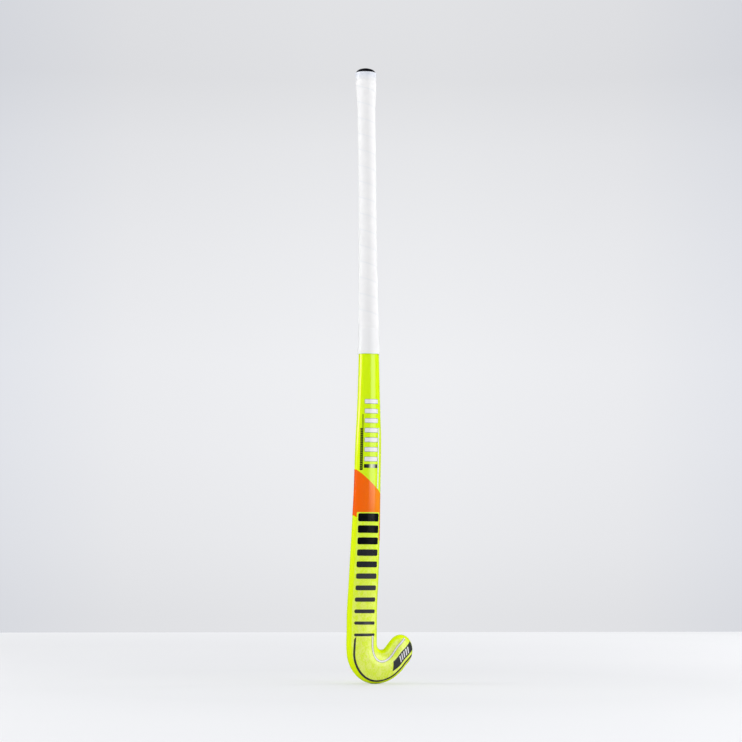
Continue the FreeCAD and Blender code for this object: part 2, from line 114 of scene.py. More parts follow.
def curve(table, z, col=1):
    """Smooth value of a table's column at height z."""
    z = min(max(z, table[0][0]), table[-1][0])
    k = max(i for i in range(len(table) - 1) if table[i][0] <= z)

    def slope(i):
        if i in (0, len(table) - 1):
            return 0.0
        a = (table[i][col] - table[i - 1][col]) / (table[i][0] - table[i - 1][0])
        b = (table[i + 1][col] - table[i][col]) / (table[i + 1][0] - table[i][0])
        return 0.0 if a * b <= 0 else 2 * a * b / (a + b)

    span = table[k + 1][0] - table[k][0]
    t = (z - table[k][0]) / span
    return ((1 + 2 * t) * (1 - t) ** 2 * table[k][col] + t * t * (3 - 2 * t) * table[k + 1][col]
            + span * t * (1 - t) * ((1 - t) * slope(k) - t * slope(k + 1)))


def head_ends():
    """Heel-side and crook-side edge points of the hook's sections, from the toe to HEAD_TOP."""
    ends = [(TIP_HEEL, TIP_CROOK)]
    for i in range(BEND_STEPS + 1):
        t = pi + radians(BEND_END) * (1 - i / BEND_STEPS)
        low = SOLE_R if t > 1.5 * pi else HEEL_C[1]
        wide = SOLE_R if t > 1.5 * pi else HEEL_A
        ends.append(((HEEL_C[0] + wide * cos(t), low + low * sin(t)),
                     (CROOK_C[0] + CROOK_R * cos(t), CROOK_C[1] + CROOK_R * sin(t))))
    half = SHAFT[0][1] / 2
    return ends + [((-half, z), (half, z)) for z in (76.0, HEAD_TOP)]


class Track:
    """A smooth line through points at known places along it, with its end directions."""

    def __init__(self, points, along, start, end):
        self.points, self.along = points, along
        steps = [b - a for a, b in zip(along, along[1:])]
        rate = [(q - p) / d for p, q, d in zip(points, points[1:], steps)]
        self.speed = [start * rate[0].length]
        for i in range(1, len(steps)):
            both = steps[i - 1] + steps[i]
            self.speed.append((rate[i] * steps[i - 1] + rate[i - 1] * steps[i]) / both)
        self.speed.append(end * rate[-1].length)

    def at(self, s):
        k = max(i for i in range(len(self.along) - 1) if self.along[i] <= max(s, self.along[0]))
        span = self.along[k + 1] - self.along[k]
        t = (s - self.along[k]) / span
        return ((1 + 2 * t) * (1 - t) ** 2 * self.points[k] + t * t * (3 - 2 * t) * self.points[k + 1]
                + span * t * (1 - t) * ((1 - t) * self.speed[k] - t * self.speed[k + 1]))


def head_tracks():
    ends = head_ends()
    middles = [Vector(((h[0] + c[0]) / 2, (h[1] + c[1]) / 2)) for h, c in ends]
    along = [0.0]
    for p, q in zip(middles, middles[1:]):
        along.append(along[-1] + (q - p).length)
    first, last = Vector(TIP_DIR) * -1, Vector((0, 1))
    return along[-1], [Track([Vector(e[k]) for e in ends], along, first, last) for k in (0, 1)]


HEAD_LONG, (HEEL_TRACK, CROOK_TRACK) = head_tracks()
TOE = HEAD_TOP - HEAD_LONG          # the place where the rounded toe begins


def hook(along):
    """Place up the stick of a distance along the hook from the start of the rounded toe."""
    return along + TOE


class Section:
    """The cross-section at place s. x runs from the heel side to the crook side, y out of the face."""

    def __init__(self, s):
        if s < HEAD_TOP:
            heel, crook = HEEL_TRACK.at(s - TOE), CROOK_TRACK.at(s - TOE)
            self.a = (crook - heel).length / 2
            self.thick, self.flat, self.depth = THICK, self.a - EDGE, EDGE
            self.face = FACE_Y
        else:
            self.a = curve(SHAFT, s) / 2
            heel, crook = Vector((-self.a, s)), Vector((self.a, s))
            self.thick, self.flat, self.depth = (curve(SHAFT, s, col) for col in (2, 3, 4))
            self.face = FACE_Y - curve(BOW, s)
        self.c = (heel + crook) / 2
        self.n = (crook - heel) / (2 * self.a)

    def at(self, x, y, d=Vector((0, 0))):
        """Point at (x, y) of the section; d shifts it within the plane of the face."""
        p = self.c + self.n * x + d
        return Vector((p.x + AXIS_X, self.face + y, p.y))

    def half(self, h, counts):
        """Half of the outline grown by h: flat, corner and back, from y = h over the crook side."""
        a = self.a + h
        flat, corner, back = counts
        points = [(self.flat * i / flat, h) for i in range(flat)]
        points += [(self.flat + (a - self.flat) * sin(k), -self.depth + (self.depth + h) * cos(k))
                   for k in (i / corner * pi / 2 for i in range(corner))]
        points += [(a * cos(k), -self.depth - (self.thick - self.depth + h) * sin(k))
                   for k in (i / back * pi / 2 for i in range(back))]
        return points + [(0.0, -self.thick - h)]

    def around(self, h, counts):
        half = self.half(h, counts)
        return half + [(-x, y) for x, y in half[-2:0:-1]]

    def back(self, x, h):
        """Height of the back grown by h, at x from the middle."""
        u = min(1.0, abs(x) / (self.a + h))
        return -self.depth - (self.thick - self.depth + h) * sqrt(1 - u * u)


TIP = Section(TOE)


def toe_shift(d):
    """Shift towards the toe's end, for d measured in the proportions of the toe's own section."""
    return Vector(TIP_DIR) * (d * TIP_R / TIP.a)


def on_back(x, s, h):
    """Point on the back, x from the centre line at place s, raised by h."""
    if s >= TOE:
        section = Section(s)
        return section.at(x, section.back(x, h))
    d = TOE - s
    return TIP.at(x, TIP.back(hypot(x, d), h), toe_shift(d))


def places(start, end, step):
    """Even places from start to end, no more than step apart."""
    count = max(1, ceil((end - start) / step))
    return [start + (end - start) * i / count for i in range(count + 1)]


def even(count):
    """Shares of a whole from 0 to 1, in count equal steps."""
    return [i / count for i in range(count + 1)]


def smooth(t):
    """0 up to t = 0 and 1 from t = 1, with a smooth rise between."""
    t = min(1.0, max(0.0, t))
    return t * t * (3 - 2 * t)


# ---------------------------------------------------------------- meshes

WELD = 0.0005
SHARP = radians(40)      # faces that meet at more than this show a crisp edge


class Weave:
    """Collects patches of points into one mesh."""

    def __init__(self):
        self.points, self.faces, self.kinds, self.marks = [], [], [], []

    def patch(self, grid, marks=None, kind=lambda i, j: 0, loop=False):
        """A grid of points, row by row. marks has one number per point, kind gives each cell's
        material, and loop closes the rows."""
        first, wide = len(self.points), len(grid[0])
        for i, row in enumerate(grid):
            self.points += row
            self.marks += marks[i] if marks else [0.0] * wide
        for i in range(len(grid) - 1):
            for j in range(wide if loop else wide - 1):
                k = (j + 1) % wide
                self.faces.append([first + i * wide + j, first + i * wide + k,
                                   first + (i + 1) * wide + k, first + (i + 1) * wide + j])
                self.kinds.append(kind(i, j))

    def piece(self, name, materials, replaced=(), weld=WELD):
        """One object made of all the patches. Points closer than weld are joined."""
        mesh = bpy.data.meshes.new(name)
        mesh.from_pydata([p * MM for p in self.points], [], self.faces)
        mesh.attributes.new("mark", "FLOAT", "POINT").data.foreach_set("value", self.marks)
        mesh.polygons.foreach_set("material_index", self.kinds)
        for material in materials:
            mesh.materials.append(material)
        work = bmesh.new()
        work.from_mesh(mesh)
        bmesh.ops.remove_doubles(work, verts=work.verts, dist=weld * MM)
        bmesh.ops.dissolve_degenerate(work, edges=work.edges, dist=weld * MM)
        bmesh.ops.recalc_face_normals(work, faces=work.faces)
        work.to_mesh(mesh)
        work.free()
        mesh.shade_smooth()
        mesh.set_sharp_from_angle(angle=SHARP)
        made = bpy.data.objects.new(name, mesh)
        bpy.context.scene.collection.objects.link(made)
        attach(made, "root")
        if replaced:
            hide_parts(*replaced)
        return made


def add_skin(weave, h, head_step, shaft_steps, counts):
    """The stick's surface grown by h, from the toe to the top of the tube. Its marks run from 0 at
    the middle to 1 at the edge."""
    levels = places(TOE, HEAD_TOP, head_step)
    for start, end, step in shaft_steps:
        levels += places(start, end, step)[1:]
    grid, marks = [], []
    for s in levels:
        section = Section(s)
        outline = section.around(h, counts)
        grid.append([section.at(x, y) for x, y in outline])
        marks.append([abs(x) / (section.a + h) for x, y in outline])
    weave.patch(grid, marks, loop=True)
    half = TIP.half(h, counts)
    turns = [q * pi for q in even(32)]
    toe = [[TIP.at(x * cos(t), y, toe_shift(x * sin(t))) for x, y in half] for t in turns]
    weave.patch(toe, [[abs(x) / (TIP.a + h) for x, y in half] for t in turns])
    return grid[-1]


def laminate(material):
    """The hollow outer shell of shaft and hook. It is finest where it isn't under the grip."""
    counts = (9, 9, 30)
    shown_to = GRIP_FROM + 14.5
    weave = Weave()
    outer = add_skin(weave, 0.0, 1.4, [(HEAD_TOP, shown_to, 2.5), (shown_to, TUBE_TOP, 14)], counts)
    inner = add_skin(weave, -WALL, 4.0, [(HEAD_TOP, shown_to, 12), (shown_to, TUBE_TOP, 14)], counts)
    weave.patch([outer, inner], loop=True)
    return weave.piece("stick_laminate", [material], ["outer_laminate"])


def add_film(weave, rows, stops, kind=lambda i, j: 0, low=GAP, high=GAP + FILM):
    """A thin closed film on the back. Each row is its two end points as (x, s), and stops are the
    shares of the way between them at which it has points. Its marks run from 0 to 1 across."""
    flat = [[(p[0] + (q[0] - p[0]) * t, p[1] + (q[1] - p[1]) * t) for t in stops] for p, q in rows]
    top = [[on_back(x, s, high) for x, s in row] for row in flat]
    base = [[on_back(x, s, low) for x, s in row] for row in flat]
    marks = [list(stops) for row in rows]
    weave.patch(top, marks, kind)
    weave.patch(base, marks, kind)
    last = len(rows) - 1
    for i in (0, last):
        weave.patch([base[i], top[i]], [marks[i]] * 2, lambda a, j, i=min(i, last - 1): kind(i, j))
    for j in (0, len(stops) - 1):
        side = [[line[i][j] for i in range(last + 1)] for line in (base, top)]
        cell = min(j, len(stops) - 2)
        weave.patch(side, [[stops[j]] * (last + 1)] * 2, lambda a, i, j=cell: kind(i, j))


def add_tube(weave, outer, inner, marks=None):
    """A thin closed tube between two stacks of rings."""
    weave.patch(outer, marks, loop=True)
    weave.patch(inner, loop=True)
    for i in (0, -1):
        weave.patch([outer[i], inner[i]], loop=True)


def add_layers(weave, top, base, marks):
    """A thin closed sheet between two grids of points that share their marks."""
    weave.patch(top, marks)
    weave.patch(base, marks)
    for i in (0, -1):
        weave.patch([base[i], top[i]], [marks[i]] * 2)
        sides = [[row[i] for row in grid] for grid in (base, top)]
        weave.patch(sides, [[row[i] for row in marks]] * 2)


def bar_rows(x0, x1, s0, s1, radius):
    """Rows of a rectangle with rounded corners, for add_film."""
    near = [radius * (1 - cos(q * pi / 2)) for q in even(6)]
    levels = [s0 + d for d in near] + places(s0 + radius, s1 - radius, 1.0)[1:-1]
    levels += [s1 - d for d in near[::-1]]
    rows = []
    for s in levels:
        d = radius - min(radius, s - s0, s1 - s)
        inset = radius - sqrt(max(0.0, radius * radius - d * d))
        rows.append(((x0 + inset, s), (x1 - inset, s)))
    return rows


# ---------------------------------------------------------------- materials

def finish(name, **sockets):
    """A new material with its node tree and shader. sockets are inputs, with _ for a space."""
    material = bpy.data.materials.new(name)
    material.use_nodes = True
    tree = material.node_tree
    shader = tree.nodes["Principled BSDF"]
    for key, value in sockets.items():
        shader.inputs[key.replace("_", " ")].default_value = value
    return material, tree, shader


def place_of(tree):
    """Position in metres."""
    return tree.nodes.new("ShaderNodeTexCoord").outputs["Object"]


def height_of(tree):
    """Height in metres."""
    axes = tree.nodes.new("ShaderNodeSeparateXYZ")
    tree.links.new(place_of(tree), axes.inputs[0])
    return axes.outputs["Z"]


def mark_of(tree):
    """The number that each point of the mesh carries."""
    node = tree.nodes.new("ShaderNodeAttribute")
    node.attribute_name = "mark"
    return node.outputs["Fac"]


def grain(tree, vector, scale, detail, rough, distort=0.0):
    """Soft noise, scale blotches to the metre."""
    node = tree.nodes.new("ShaderNodeTexNoise")
    node.inputs["Scale"].default_value = scale
    node.inputs["Detail"].default_value = detail
    node.inputs["Roughness"].default_value = rough
    node.inputs["Distortion"].default_value = distort
    tree.links.new(vector, node.inputs["Vector"])
    return node.outputs["Fac"]


def cells(tree, vector, scale):
    """Round cells, 0 in the middle of each."""
    node = tree.nodes.new("ShaderNodeTexVoronoi")
    node.inputs["Scale"].default_value = scale
    tree.links.new(vector, node.inputs["Vector"])
    return node.outputs["Distance"]


def stretch(tree, vector, scale):
    node = tree.nodes.new("ShaderNodeMapping")
    node.inputs["Scale"].default_value = scale
    tree.links.new(vector, node.inputs["Vector"])
    return node.outputs["Vector"]


def ramp(tree, value, stops):
    """Colour that follows value through stops of (value, colour)."""
    node = tree.nodes.new("ShaderNodeValToRGB")
    while len(node.color_ramp.elements) < len(stops):
        node.color_ramp.elements.new(0.5)
    for element, (at, colour) in zip(node.color_ramp.elements, stops):
        element.position = at
        element.color = (*colour, 1.0)
    tree.links.new(value, node.inputs["Fac"])
    return node.outputs["Color"]


def span(tree, value, low, high, to_low=0.0, to_high=1.0):
    """value, moved evenly from the range low..high to the range to_low..to_high and kept in it."""
    node = tree.nodes.new("ShaderNodeMapRange")
    for key, number in (("From Min", low), ("From Max", high), ("To Min", to_low), ("To Max", to_high)):
        node.inputs[key].default_value = number
    tree.links.new(value, node.inputs["Value"])
    return node.outputs["Result"]


def calculate(tree, operation, a, b):
    """One step of arithmetic on two values, each a socket or a number."""
    node = tree.nodes.new("ShaderNodeMath")
    node.operation = operation
    for socket, value in zip(node.inputs, (a, b)):
        if isinstance(value, (int, float)):
            socket.default_value = value
        else:
            tree.links.new(value, socket)
    return node.outputs[0]


def blend(tree, share, a, b):
    """Colour a where share is 0 and b where it is 1, each a socket or a colour."""
    node = tree.nodes.new("ShaderNodeMix")
    node.data_type = "RGBA"
    tree.links.new(share, node.inputs["Factor"])
    for key, value in (("A", a), ("B", b)):
        socket = next(i for i in node.inputs if i.name == key and i.type == "RGBA")
        if isinstance(value, tuple):
            socket.default_value = (*value, 1.0)
        else:
            tree.links.new(value, socket)
    return next(o for o in node.outputs if o.type == "RGBA")


def bump(tree, shader, height, distance):
    """Fine relief: height 1 stands distance metres out."""
    node = tree.nodes.new("ShaderNodeBump")
    node.inputs["Strength"].default_value = 1.0
    node.inputs["Distance"].default_value = distance
    tree.links.new(height, node.inputs["Height"])
    tree.links.new(node.outputs["Normal"], shader.inputs["Normal"])


def sum_of(tree, *parts):
    """Sum of (value, weight) pairs."""
    total = None
    for value, weight in parts:
        part = calculate(tree, "MULTIPLY", value, weight)
        total = part if total is None else calculate(tree, "ADD", total, part)
    return total


LACQUER = {"Coat_Weight": 1.0, "Coat_Roughness": 0.14, "Coat_IOR": 1.7, "IOR": 1.25,
           "Specular_IOR_Level": 0.1}
NEON_EDGE = (0.79, 0.99, 0.0)
NEON_HIGH, NEON_HIGH_PALE = (0.66, 0.93, 0.0), (0.68, 0.94, 0.005)
# Low down, the pale tone is partly a marbled print and partly painted reflection on the broad back
NEON_LOW, NEON_LOW_FLECK_AND_SHEEN = (0.75, 0.95, 0.01), (0.93, 1.0, 0.27)


def neon_lacquer():
    """Fluorescent yellow-green paint under lacquer. It is plain on the edges and high on the shaft,
    and marbled with paler flecks on the broad faces lower down: partly print, partly painted reflection."""
    material, tree, shader = finish("neon_lacquer", **LACQUER)
    where = place_of(tree)
    veins = span(tree, grain(tree, stretch(tree, where, (1.0, 1.0, 0.6)), 170, 6, 0.75, 0.6), 0.42, 0.60)
    specks = span(tree, grain(tree, where, 650, 4, 0.65), 0.42, 0.60)
    mottle = sum_of(tree, (veins, 0.6), (specks, 0.4))
    down = span(tree, height_of(tree), 0.07, 0.34, 1.0, 0.0)
    full = blend(tree, down, NEON_HIGH, NEON_LOW)
    pale = blend(tree, down, NEON_HIGH_PALE, NEON_LOW_FLECK_AND_SHEEN)
    marbled = blend(tree, mottle, full, pale)
    # The edges keep the plain saturated tone, without the painted reflection
    edge = span(tree, mark_of(tree), 0.79, 0.82)
    tree.links.new(blend(tree, edge, marbled, NEON_EDGE), shader.inputs["Base Color"])
    rough = span(tree, grain(tree, where, 60, 4, 0.6), 0.3, 0.7, 0.24, 0.34)
    tree.links.new(rough, shader.inputs["Roughness"])
    peel = sum_of(tree, (grain(tree, where, 220, 2, 0.5), 0.7), (grain(tree, where, 900, 2, 0.5), 0.15))
    bump(tree, shader, peel, 0.00012)
    return material


def film_finish(name, stops):
    """Printed film under the lacquer. Its colour changes across it, with a faint print grain."""
    material, tree, shader = finish(name, **LACQUER)
    where = place_of(tree)
    ink = ramp(tree, mark_of(tree), stops)
    faint = span(tree, grain(tree, where, 500, 4, 0.65), 0.35, 0.75, 0.0, 0.16)
    darker = tuple(c * 0.72 for c in stops[0][1])
    tree.links.new(blend(tree, faint, ink, darker), shader.inputs["Base Color"])
    rough = span(tree, grain(tree, where, 80, 4, 0.6), 0.3, 0.7, 0.22, 0.32)
    tree.links.new(rough, shader.inputs["Roughness"])
    bump(tree, shader, grain(tree, where, 220, 2, 0.5), 0.0001)
    return material


def white_grip():
    """Soft foamed grip tape: fine pores, with painted shade greying the seams."""
    material, tree, shader = finish("white_grip", IOR=1.45, Sheen_Weight=0.15, Sheen_Roughness=0.5)
    where = place_of(tree)
    clean = ramp(tree, grain(tree, where, 90, 5, 0.6),
                 [(0.3, (0.825, 0.82, 0.82)), (0.7, (0.87, 0.865, 0.86))])
    # Painted shade: the grip turns greyer where the seams are deep
    deep = span(tree, mark_of(tree), 0.15, 0.9)
    tree.links.new(blend(tree, deep, clean, (0.80, 0.81, 0.82)), shader.inputs["Base Color"])
    rough = span(tree, grain(tree, where, 400, 3, 0.6), 0.3, 0.7, 0.42, 0.6)
    tree.links.new(rough, shader.inputs["Roughness"])
    pores = sum_of(tree, (cells(tree, where, 1400), 0.5), (grain(tree, where, 700, 4, 0.6), 0.8))
    bump(tree, shader, pores, 0.00012)
    return material


def woven_tape(name, dark, light, clean):
    """Smooth woven-backed tape, as at both ends of the grip. Its tint fades into the clean tone at the
    lower edge of the collar."""
    material, tree, shader = finish(name, IOR=1.45)
    threads = grain(tree, stretch(tree, place_of(tree), (1.0, 1.0, 6.0)), 260, 4, 0.6)
    up = span(tree, height_of(tree), COLLAR_FROM * MM, (COLLAR_FROM + 8) * MM)
    tinted = ramp(tree, threads, [(0.3, dark), (0.7, light)])
    tree.links.new(blend(tree, up, clean, tinted), shader.inputs["Base Color"])
    tree.links.new(span(tree, threads, 0.3, 0.7, 0.30, 0.42), shader.inputs["Roughness"])
    bump(tree, shader, threads, 0.00006)
    return material


def speckled(name, dark, light, scale, low, high, depth, **sockets):
    """A material with a grain of two tones, for rubber, foam, resin and bare laminate."""
    material, tree, shader = finish(name, **sockets)
    where = place_of(tree)
    fine = grain(tree, where, scale, 5, 0.62)
    tree.links.new(ramp(tree, fine, [(0.32, dark), (0.68, light)]), shader.inputs["Base Color"])
    tree.links.new(span(tree, fine, 0.3, 0.7, low, high), shader.inputs["Roughness"])
    bump(tree, shader, fine, depth)
    return material


INK = (0.046, 0.050, 0.056)
WHITE = (0.82, 0.80, 0.85)
lacquer = neon_lacquer()
black_film = film_finish("black_film", [(0.0, INK), (1.0, (0.050, 0.054, 0.060))])
# Darker copies of the one black ink, as painted shade high on the shaft
shaded_ink_film = film_finish("painted_shade_black_film", [(0.0, (0.004, 0.005, 0.006)), (1.0, (0.007, 0.008, 0.010))])
halfshade_ink_film = film_finish("painted_half_shade_black_film", [(0.0, (0.022, 0.024, 0.028)), (1.0, (0.026, 0.028, 0.032))])
fading_film = film_finish("fading_film", [(0.0, (0.006, 0.007, 0.008)), (0.30, INK),
                                          (0.52, (0.75, 0.85, 0.45)), (0.72, (0.45, 0.48, 0.40)),
                                          (0.86, INK)])
white_film = film_finish("white_film", [(0.0, WHITE), (1.0, (0.84, 0.83, 0.86))])
grey_edge = film_finish("grey_edge_film", [(0.0, (0.20, 0.20, 0.17)), (1.0, (0.24, 0.24, 0.20))])
# The orange turns lighter towards the crook side: partly a printed gradient, partly a painted highlight
orange_film = film_finish("orange_film", [(0.0, (1.0, 0.13, 0.0)), (0.45, (1.0, 0.165, 0.0)),
                                          (0.75, (1.0, 0.27, 0.01)), (1.0, (0.97, 0.31, 0.01))])
grip_white = white_grip()
collar_tape = woven_tape("collar_tape", (0.68, 0.71, 0.78), (0.75, 0.77, 0.82), (0.83, 0.83, 0.84))
lower_tape = woven_tape("lower_tape", (0.82, 0.82, 0.82), (0.86, 0.86, 0.86), (0.84, 0.84, 0.84))
rubber = speckled("black_rubber", (0.003, 0.003, 0.006), (0.007, 0.008, 0.012), 700, 0.45, 0.6, 0.00008,
                  Specular_IOR_Level=0.25)


# ---------------------------------------------------------------- pieces

def motif():
    """Big black bars, thinner from one to the next down the shaft. The highest ones are darker copies of
    the same black ink, as painted shade.
    """
    weave = Weave()
    for k in range(BARS):
        top = BAR_TOP - BAR_PITCH * k
        low = top - BAR_THICK + BAR_LESS * k
        radius = min(2.2, (top - low) / 2.2)
        tone = 0 if k < SHADE_DARKENED_BARS else 1 if k < SHADE_DARKENED_BARS + HALF_SHADE_BARS else 2
        add_film(weave, bar_rows(-BAR_HALF, BAR_HALF, low, top, radius), even(28),
                 lambda i, j, tone=tone: tone)
    return weave.piece("motif_bars", [shaded_ink_film, halfshade_ink_film, black_film], ["motif_film"])


def mark_bars():
    """White bars with a thin dark edge."""
    rim = 0.45
    wide = MARK_SPAN[1] - MARK_SPAN[0]
    stops = [0.0, rim / wide] + [rim / wide + (1 - 2 * rim / wide) * i / 20 for i in range(1, 21)] + [1.0]
    weave = Weave()
    for k in range(MARKS):
        low = MARK_FROM + MARK_PITCH * k
        rows = bar_rows(*MARK_SPAN, low, low + MARK_THICK, 1.2)
        edge = [i for i in range(len(rows) - 1)
                if min(rows[i][0][1] - low, low + MARK_THICK - rows[i + 1][0][1]) < rim * 0.8]
        add_film(weave, rows, stops,
                 lambda i, j, edge=edge: 1 if i in edge or j in (0, len(stops) - 2) else 0)
    return weave.piece("mark_bars", [white_film, grey_edge], ["marks_film"])


def details():
    """The thin line beside the marks with a row of ticks, and the short bar that fades."""
    weave = Weave()
    # The thin line and ticks use the darkest copy of the black ink, as painted shade
    add_film(weave, [((THIN_SPAN[0], s), (THIN_SPAN[1], s)) for s in places(*THIN_LINE, 2)], even(1))
    for k in range(TICKS):
        low = THIN_LINE[0] + TICK_PITCH * k
        add_film(weave, bar_rows(*TICK_SPAN, low, low + TICK_TALL, 0.3), even(2))
    add_film(weave, bar_rows(*MARK_SPAN, *SHORT_BAR, 0.5), even(24), lambda i, j: 1)
    return weave.piece("detail_lines", [shaded_ink_film, fading_film], ["detail_film"])


def side_line():
    """The thin white line along the toe side of the shaft."""
    weave = Weave()
    rows = [((SIDE_LINE_SPAN[0], s), (SIDE_LINE_SPAN[1], s)) for s in places(*SIDE_LINE, 2)]
    add_film(weave, rows, even(3))
    return weave.piece("side_pinstripe", [white_film], ["side_pinstripe_film"])


def hoop(section, h, x0):
    """The outline grown by h, from x0 on the back over the crook side and the flat to -x0."""
    a, deep = section.a + h, section.thick - section.depth + h
    start = acos(x0 / a)
    half = [(a * cos(k), -section.depth - deep * sin(k))
            for k in (start * (1 - q) for q in even(14)[:-1])]
    half += [(section.flat + (a - section.flat) * cos(k), -section.depth + (section.depth + h) * sin(k))
             for k in (q * pi / 2 for q in even(8)[:-1])]
    half += [(section.flat * (1 - q), h) for q in even(6)]
    return half + [(-x, y) for x, y in half[-2::-1]]


def band():
    """The wide orange band right round the shaft, with room on the back round the motif's top bar."""
    half, top = BAR_HALF + RELIEF, BAR_TOP + RELIEF
    grown = (GAP + FILM, GAP)

    def edge(z, j):
        """Height at which column j meets the slanted edge that crosses the centre line at z."""
        s = z
        for attempt in range(6):
            s = z - SLANT * hoop(Section(s), 0.0, half)[j][0]
        return s

    # Share of the way across, heel side to crook side; the orange lightens with it, partly as print and
    # partly as painted highlight
    def share(x, s):
        return (x / Section(s).a + 1) / 2

    columns = len(hoop(Section(BAND[0]), 0.0, half))
    ends = [(edge(BAND[0], j), edge(BAND[1], j)) for j in range(columns)]
    heights = [[low + (high - low) * q for low, high in ends] for q in even(36)]
    round_shaft, marks = [], []
    for h in grown:
        grid = []
        for row in heights:
            sections = [Section(s) for s in row]
            grid.append([section.at(*hoop(section, h, half)[j]) for j, section in enumerate(sections)])
        round_shaft.append(grid)
    for row in heights:
        marks.append([share(hoop(Section(s), grown[0], half)[j][0], s) for j, s in enumerate(row)])
    above = [[(x, top + (BAND[1] - SLANT * x - top) * q) for x in places(-half, half, 0.9)]
             for q in even(36)]
    over_bar = [[[on_back(x, s, h) for x, s in row] for row in above] for h in grown]

    weave = Weave()
    add_layers(weave, *round_shaft, marks)
    add_layers(weave, *over_bar, [[share(x, s) for x, s in row] for row in above])
    return weave.piece("orange_band", [orange_film], ["band_film"], weld=0.004)


def outline():
    """The black line round the outside of the hook, with its upper end cut at a slant."""
    slant, over = 2.2, 12.0
    weave = Weave()
    rows = []
    first, last = OUTLINE
    for along in places(first, last, 0.8):
        s = hook(along)
        a = Section(max(s, TOE)).a
        inset = curve(OUTLINE_INSETS, along)
        outer, inner = (-(a - inset - OUTLINE_WIDE * k) for k in (-0.5, 0.5))
        cut = slant * smooth((along - last + over) / over)
        rows.append(((outer, s - cut), (inner, s + cut)))
    add_film(weave, rows, even(4))
    return weave.piece("hook_outline", [black_film], ["outline_film"])


def crook_line():
    """The white line round the inside of the hook, between thin grey edges."""
    rim = 0.16
    weave = Weave()
    rows = []
    for along in places(*CROOK_LINE, 0.8):
        s = hook(along)
        a = Section(max(s, TOE)).a
        inset = CROOK_INSET + CROOK_MORE * exp(-((along - CROOK_MIDDLE) / CROOK_REACH) ** 2)
        rows.append(((a - inset - CROOK_WIDE / 2, s), (a - inset + CROOK_WIDE / 2, s)))
    add_film(weave, rows, [0.0, rim, 0.4, 0.6, 1 - rim, 1.0], lambda i, j: 1 if j in (0, 4) else 0)
    return weave.piece("crook_pinstripe", [white_film, grey_edge], ["crook_pinstripe_film"])


def toe_panel():
    """The black panel on the toe."""
    weave = Weave()
    rows = []
    for p in even(12):
        x = PANEL_SPAN[0] + (PANEL_SPAN[1] - PANEL_SPAN[0]) * p
        first = PANEL_FROM - PANEL_LESS * p
        last = -sqrt((PANEL_END * TIP.a) ** 2 - x * x)
        rows.append(((x, hook(last)), (x, hook(first))))
    add_film(weave, rows, even(40))
    return weave.piece("toe_panel", [black_film], ["toe_panel_film"])


def toe_marks():
    """The slanted bars on the toe panel."""
    weave = Weave()
    for k in range(TOE_MARKS):
        start = TOE_MARK_FROM - TOE_MARK_PITCH * k
        rows = []
        for x in places(PANEL_SPAN[0] + 2.2, PANEL_SPAN[1] - 2.0, 1.0):
            s = hook(start - TOE_MARK_LEAN * (x - PANEL_SPAN[0]))
            rows.append(((x, s), (x, s + TOE_MARK_THICK)))
        add_film(weave, rows, even(4), low=GAP + FILM * 0.6, high=GAP + FILM * 1.3)
    return weave.piece("toe_panel_marks", [white_film])


# ---- handle

GRIP_COUNTS = (4, 10, 34)
SEAM_DEEP, SEAM_HALF = 0.14, 1.1
SHOULDER_HIGH, SHOULDER_AT, SHOULDER_HALF = 0.05, 2.6, 1.6      # the ridge beside each seam
CROWN_HIGH, WAVE_HIGH = 0.05, 0.08
GATHERS, GATHER_PITCH, GATHER_HIGH = (826.0, 912.0), 7.6, 0.035    # small folds near the top
GRIP_END, GRIP_END_DROP = 1.2, 0.35


def under_grip(s):
    """How far the underside of the grip stands off the stick at place s."""
    return curve(UNDER, s)


def grip_growth(s):
    """How far the outside of the grip stands off the stick at place s."""
    return under_grip(s) + curve(CUSHION, s)


def winding(s, share):
    """How far the grip stands off its smooth surface at place s and share of the way round, and
    how deep in a seam the point lies, which sets the painted shade in the seams."""
    turn = (s - SEAM_AT) / PITCH - share
    off = (turn - floor(turn + 0.5)) * PITCH
    plain = smooth((s - TAPE_TO) / 8) * smooth((COLLAR_FROM - s) / 6)
    groove = exp(-(off / SEAM_HALF) ** 2)
    shoulder = exp(-((off - SHOULDER_AT) / SHOULDER_HALF) ** 2)
    crown = 0.5 - 0.5 * cos(2 * pi * turn)
    wave = noise.noise(Vector((s * 0.06, share * 5.0, 3.0)))
    gather = smooth((s - GATHERS[0]) / 30) * smooth((GATHERS[1] - s) / 8)
    uneven = 2.4 * noise.noise(Vector((s * 0.05, share * 3, 7.0)))
    fold = sin(2 * pi * (s / GATHER_PITCH - share * 0.4) + uneven)
    lift = plain * (SHOULDER_HIGH * shoulder + CROWN_HIGH * crown - SEAM_DEEP * groove)
    lift += WAVE_HIGH * wave * plain + GATHER_HIGH * gather * fold
    return lift, groove * plain


